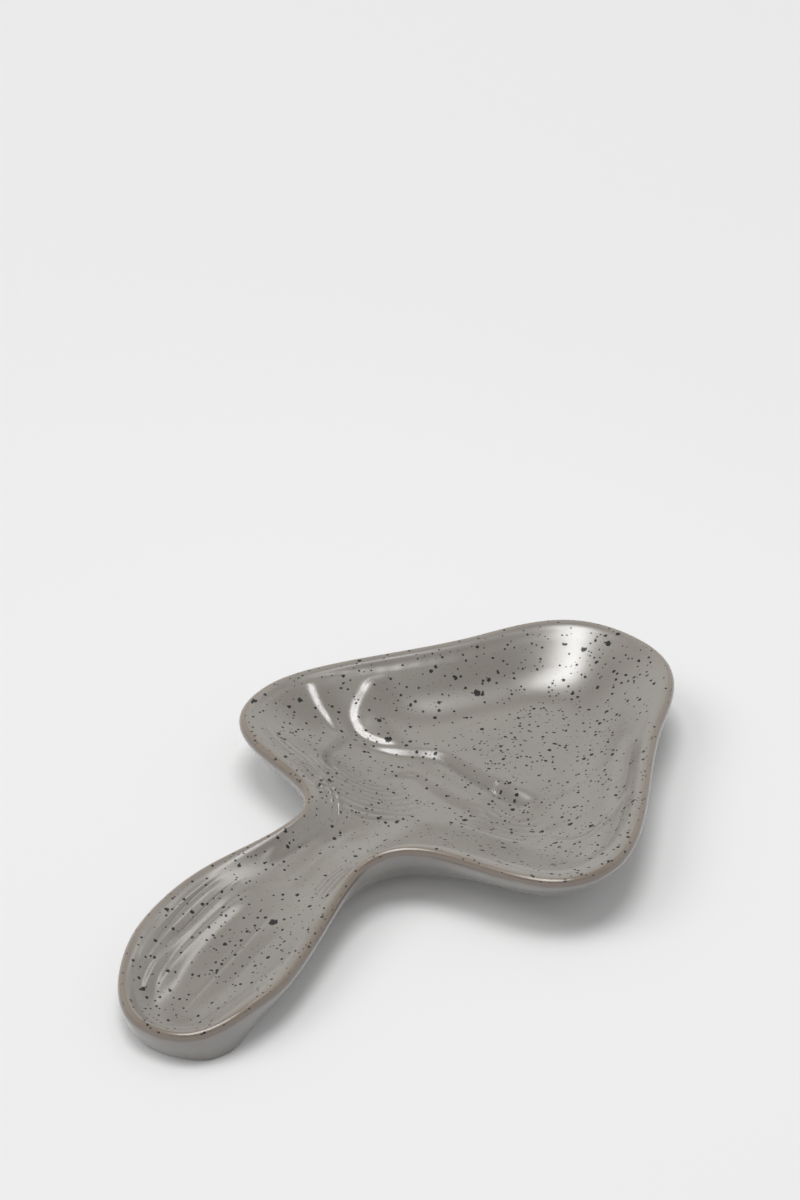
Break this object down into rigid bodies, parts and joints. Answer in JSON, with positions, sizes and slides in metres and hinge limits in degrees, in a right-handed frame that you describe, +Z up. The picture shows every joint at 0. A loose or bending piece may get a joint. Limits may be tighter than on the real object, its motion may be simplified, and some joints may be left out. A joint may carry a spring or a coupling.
{
  "type": "spoon rest",
  "caption": "Mushroom-shaped spoon rest in speckled glazed stoneware: the cap is a shallow dish for a spoon's bowl and the hollowed stem carries its handle.",
  "frame": {"origin": "centre of the bounding box in plan, on the plane of the table the foot stands on", "axes": "+X from the stem end to the crown of the cap, +Y across the cap toward the lobe on the picture's left, +Z up"},
  "size_m": [0.211, 0.127, 0.0185],
  "materials": {
    "bare_clay": "satin",
    "speckled_glaze": "satin",
    "plain_glaze": "gloss"
  },
  "bodies": {
    "root": {"clay_body": "bare_clay", "top_glaze": "speckled_glaze", "underside_glaze": "plain_glaze"}
  },
  "joints": []
}
